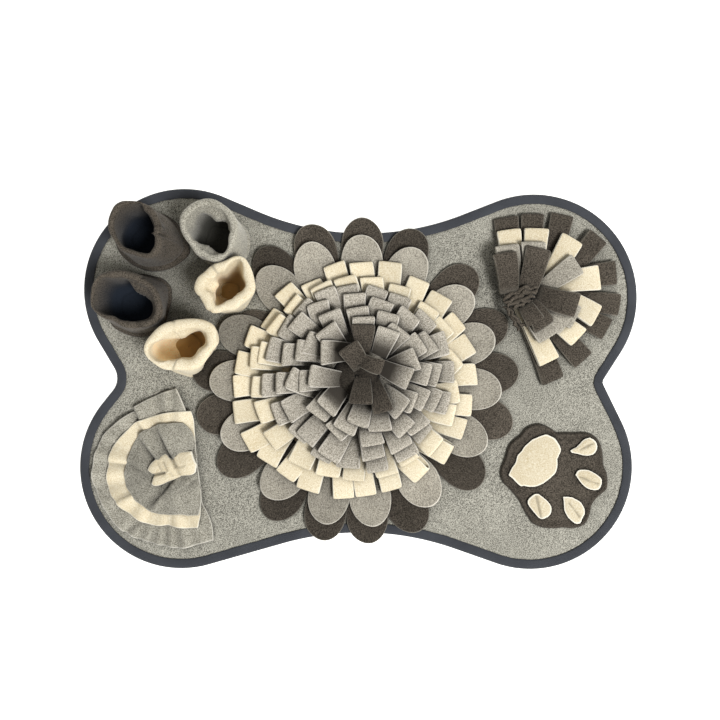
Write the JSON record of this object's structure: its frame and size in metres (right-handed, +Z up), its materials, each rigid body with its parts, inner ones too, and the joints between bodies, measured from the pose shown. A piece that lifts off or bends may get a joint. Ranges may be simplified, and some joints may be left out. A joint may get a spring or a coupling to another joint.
{
  "type": "snuffle mat",
  "caption": "Bone-shaped fleece snuffle mat with a domed flower of loops and petals, soft cups, a ruffled half-round pocket with a bow, a fan of loops and a paw patch.",
  "frame": {"origin": "on the flat underside of the panel, under the middle of the mat", "axes": "+X along the mat's length towards the lobes with the fan and the paw, +Y across it towards the lobes with the cups and the fan, +Z up"},
  "size_m": [0.7022, 0.4793, 0.0739],
  "materials": {
    "base_fleece": "short brushed fleece, mid grey",
    "mid_grey_fleece": "short brushed fleece, warm grey",
    "light_grey_fleece": "short brushed fleece, light taupe grey",
    "charcoal_fleece": "short brushed fleece, brown charcoal",
    "cream_fleece": "short brushed fleece, cream",
    "binding_tape": "ribbed woven tape, blue charcoal"
  },
  "bodies": {
    "root": {"base_panel": "base_fleece", "edge_binding": "binding_tape", "petal_dark_01": "charcoal_fleece", "petal_dark_02": "charcoal_fleece", "petal_dark_03": "charcoal_fleece", "petal_dark_04": "charcoal_fleece", "petal_dark_05": "charcoal_fleece", "petal_dark_06": "charcoal_fleece", "petal_dark_07": "charcoal_fleece", "petal_dark_08": "charcoal_fleece", "petal_dark_09": "charcoal_fleece", "petal_dark_10": "charcoal_fleece", "petal_dark_11": "charcoal_fleece", "petal_dark_12": "charcoal_fleece", "petal_dark_13": "charcoal_fleece", "petal_dark_14": "charcoal_fleece", "petal_dark_15": "charcoal_fleece", "petal_dark_16": "charcoal_fleece", "petal_dark_17": "charcoal_fleece", "petal_light_01": "light_grey_fleece", "petal_light_02": "light_grey_fleece", "petal_light_03": "light_grey_fleece", "petal_light_04": "light_grey_fleece", "petal_light_05": "light_grey_fleece", "petal_light_06": "light_grey_fleece", "petal_light_07": "light_grey_fleece", "petal_light_08": "light_grey_fleece", "petal_light_09": "light_grey_fleece", "petal_light_10": "light_grey_fleece", "petal_light_11": "light_grey_fleece", "petal_light_12": "light_grey_fleece", "petal_light_13": "light_grey_fleece", "petal_light_14": "light_grey_fleece", "petal_light_15": "light_grey_fleece", "rosette_cream": "cream_fleece", "rosette_grey": "light_grey_fleece", "rosette_dark": "charcoal_fleece", "fan_dark_outer": "charcoal_fleece", "fan_cream": "cream_fleece", "fan_grey": "light_grey_fleece", "fan_dark_inner": "charcoal_fleece", "cup_dark_back": "charcoal_fleece", "cup_grey": "mid_grey_fleece", "cup_dark_front": "charcoal_fleece", "cup_cream_back": "cream_fleece", "cup_cream_front": "cream_fleece", "pocket_grey_back": "mid_grey_fleece", "pocket_cream": "cream_fleece", "pocket_grey_front": "mid_grey_fleece", "pocket_bow": "cream_fleece", "paw_cover": "charcoal_fleece", "paw_pad": "cream_fleece", "paw_toe_1": "cream_fleece", "paw_toe_2": "cream_fleece", "paw_toe_3": "cream_fleece", "paw_toe_4": "cream_fleece"}
  },
  "joints": []
}
